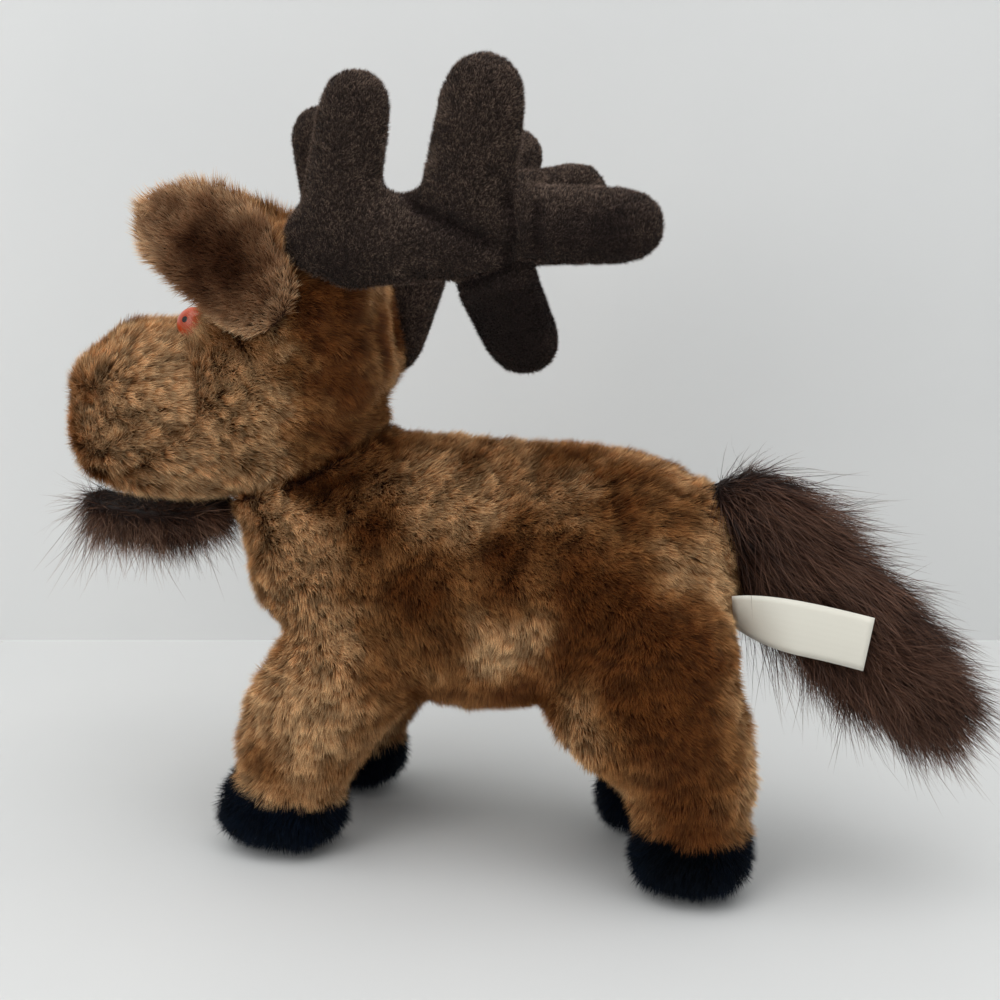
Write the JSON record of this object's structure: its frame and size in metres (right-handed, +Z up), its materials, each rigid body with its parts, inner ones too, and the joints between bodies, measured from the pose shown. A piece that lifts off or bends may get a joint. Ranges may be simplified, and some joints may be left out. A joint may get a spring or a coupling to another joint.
{
  "type": "plush deer",
  "caption": "Stuffed plush toy deer standing on soft legs, with padded fleece antlers, oval ears, a swollen muzzle, a hair beard, black hooves, a brush tail and a bare ribbon label.",
  "frame": {"origin": "middle of the toy's footprint box on the surface that its hooves stand on", "axes": "+Z up, -X towards the nose, +X towards the tail, -Y the toy's left, which is the near side in the picture"},
  "size_m": [0.258, 0.1282, 0.2209],
  "materials": {
    "plush": "dense brown plush pile, darker in patches, golden at the tips",
    "shorn_plush": "short dark brown plush",
    "hoof_plush": "short black plush with a blue cast",
    "fleece": "very dark brown fleece with a short fuzz",
    "long_hair": "long straight dark brown hair pile",
    "backing_cloth": "knitted brown backing",
    "ribbon": "smooth off-white satin ribbon, bare",
    "filling": "white polyester fibre",
    "amber_plastic": "glossy amber plastic with a black pupil",
    "nylon": "white nylon"
  },
  "bodies": {
    "body": {"torso_cover_left": "plush", "torso_cover_right": "plush", "body_stuffing": "filling", "foreleg_cover_left": "plush", "forehoof_left": "hoof_plush", "foreleg_cover_right": "plush", "forehoof_right": "hoof_plush", "hindleg_cover_left": "plush", "hindhoof_left": "hoof_plush", "hindleg_cover_right": "plush", "hindhoof_right": "hoof_plush"},
    "head": {"head_cover_left": "plush", "head_cover_right": "plush", "muzzle_cover": "plush", "head_stuffing": "filling", "eye_left": "amber_plastic", "eye_right": "amber_plastic", "eye_washer_left": "nylon", "eye_washer_right": "nylon", "beard": "long_hair"},
    "antler_left": {"antler_outer_panel_left": "fleece", "antler_inner_panel_left": "fleece", "antler_stuffing_left": "filling"},
    "antler_right": {"antler_outer_panel_right": "fleece", "antler_inner_panel_right": "fleece", "antler_stuffing_right": "filling"},
    "ear_left": {"ear_front_left": "shorn_plush", "ear_back_left": "plush"},
    "ear_right": {"ear_front_right": "shorn_plush", "ear_back_right": "plush"},
    "tail": {"tail_pile": "long_hair", "tail_sleeve": "backing_cloth"},
    "label": {"label_ribbon": "ribbon"}
  },
  "joints": [
    {"name": "neck_nod", "type": "hinge", "parent": "body", "child": "head", "pos_m": [-0.06227, -0.01755, 0.1405], "axis": [-0.2588, 0.9659, 0], "range_deg": [-4, 8], "stiffness_Nm_per_rad": 2},
    {"name": "antler_lean_left", "type": "hinge", "parent": "head", "child": "antler_left", "pos_m": [-0.0415, -0.04408, 0.16834], "axis": [0.9925, 0.1219, 0], "range_deg": [-6, 8], "stiffness_Nm_per_rad": 0.4},
    {"name": "antler_lean_right", "type": "hinge", "parent": "head", "child": "antler_right", "pos_m": [-0.06286, 0.01439, 0.16134], "axis": [-0.8945, -0.417, -0.1614], "range_deg": [-6, 8], "stiffness_Nm_per_rad": 0.4},
    {"name": "ear_lift_left", "type": "hinge", "parent": "head", "child": "ear_left", "pos_m": [-0.05321, -0.05136, 0.15268], "axis": [0.6146, 0.0898, 0.7837], "range_deg": [0, 45], "stiffness_Nm_per_rad": 0.05},
    {"name": "ear_lift_right", "type": "hinge", "parent": "head", "child": "ear_right", "pos_m": [-0.07133, 0.01626, 0.15268], "axis": [-0.3894, -0.1896, -0.9013], "range_deg": [0, 45], "stiffness_Nm_per_rad": 0.05},
    {"name": "tail_lift", "type": "hinge", "parent": "body", "child": "tail", "pos_m": [0.05127, -0.01755, 0.1085], "axis": [0, -1, 0], "range_deg": [0, 35], "stiffness_Nm_per_rad": 0.1},
    {"name": "label_swing", "type": "hinge", "parent": "body", "child": "label", "pos_m": [0.06367, -0.02855, 0.07475], "axis": [0, 0, -1], "range_deg": [0, 30], "stiffness_Nm_per_rad": 0.01}
  ]
}
